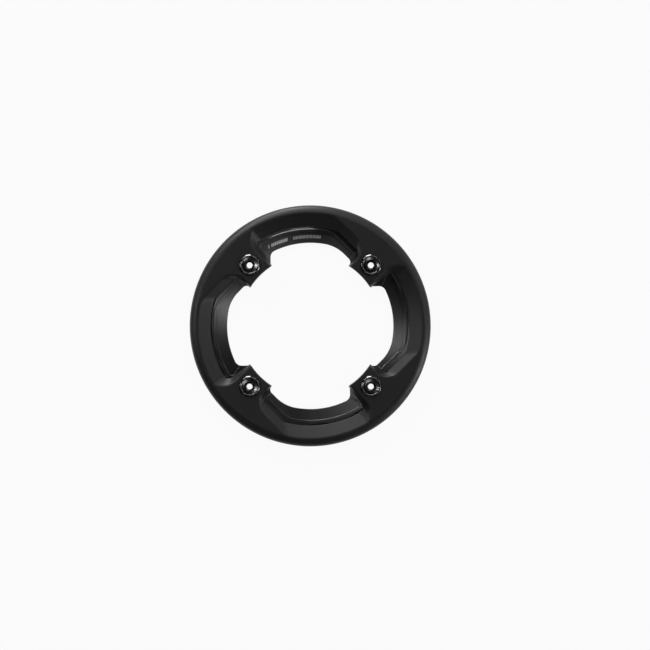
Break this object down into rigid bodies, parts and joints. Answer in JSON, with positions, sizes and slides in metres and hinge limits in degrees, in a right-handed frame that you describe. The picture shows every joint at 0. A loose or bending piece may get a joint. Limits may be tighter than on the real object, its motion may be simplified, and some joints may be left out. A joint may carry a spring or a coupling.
{
  "type": "bicycle chainring guard",
  "caption": "Round chainring guard with sculpted windows, bolted through hollow bolts and sleeve nuts to a narrow-wide chainring, with room between them for a crank spider.",
  "frame": {"origin": "on the crank axis, in the plane where the backs of the guard's four tabs seat on the crank spider", "axes": "+Z along the crank axis, out of the guard's front face; +Y up in the picture's pose, with the bolts on the diagonals of X and Y"},
  "size_m": [0.1464, 0.1464, 0.013],
  "materials": {
    "guard_nylon": "black glass-filled nylon, moulded, fine matte texture",
    "chainring_alloy": "black anodised, turned and machined",
    "bolt_finish": "black anodised, glossy",
    "nut_finish": "black anodised, satin"
  },
  "bodies": {
    "root": {"guard": "guard_nylon", "chainring": "chainring_alloy", "bolt_1": "bolt_finish", "bolt_2": "bolt_finish", "bolt_3": "bolt_finish", "bolt_4": "bolt_finish", "nut_1": "nut_finish", "nut_2": "nut_finish", "nut_3": "nut_finish", "nut_4": "nut_finish"}
  },
  "joints": []
}
